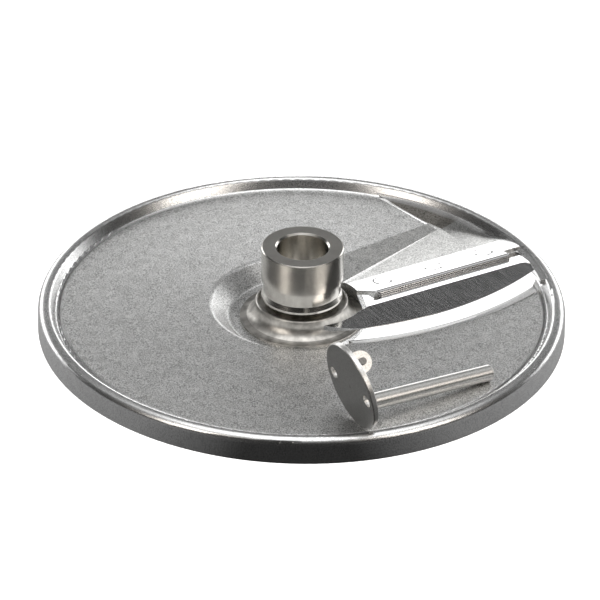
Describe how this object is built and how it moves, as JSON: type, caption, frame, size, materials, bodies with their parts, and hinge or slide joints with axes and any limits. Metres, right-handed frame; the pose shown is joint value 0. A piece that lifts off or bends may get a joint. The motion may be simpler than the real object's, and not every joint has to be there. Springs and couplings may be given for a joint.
{
  "type": "slicing disc",
  "caption": "Round pressed slicing disc with a raised rim, a tall central sleeve, a curved riveted knife over a ramp and a loose cap with a rod.",
  "frame": {"origin": "on the disc's axis, on the surface that the rim's skirt stands on", "axes": "+Z along the hub's bore, up to the cutting side; +X to the right in the picture, knife between +X and +Y"},
  "size_m": [0.185, 0.185, 0.0388],
  "materials": {
    "plate_steel": "matt blasted stainless steel",
    "blade_steel": "ground stainless steel",
    "rivet_steel": "ground flush",
    "hub_steel": "turned stainless steel",
    "flange_steel": "turned stainless steel",
    "cap_steel": "satin stainless steel",
    "rod_steel": "drawn stainless steel"
  },
  "bodies": {
    "root": {"plate": "plate_steel", "knife_blade": "blade_steel", "knife_rivets": "rivet_steel", "hub_sleeve": "hub_steel", "hub_flange": "flange_steel", "cap_disc": "cap_steel", "cap_rod": "rod_steel", "cap_lug": "cap_steel", "cap_pin": "rod_steel"}
  },
  "joints": []
}
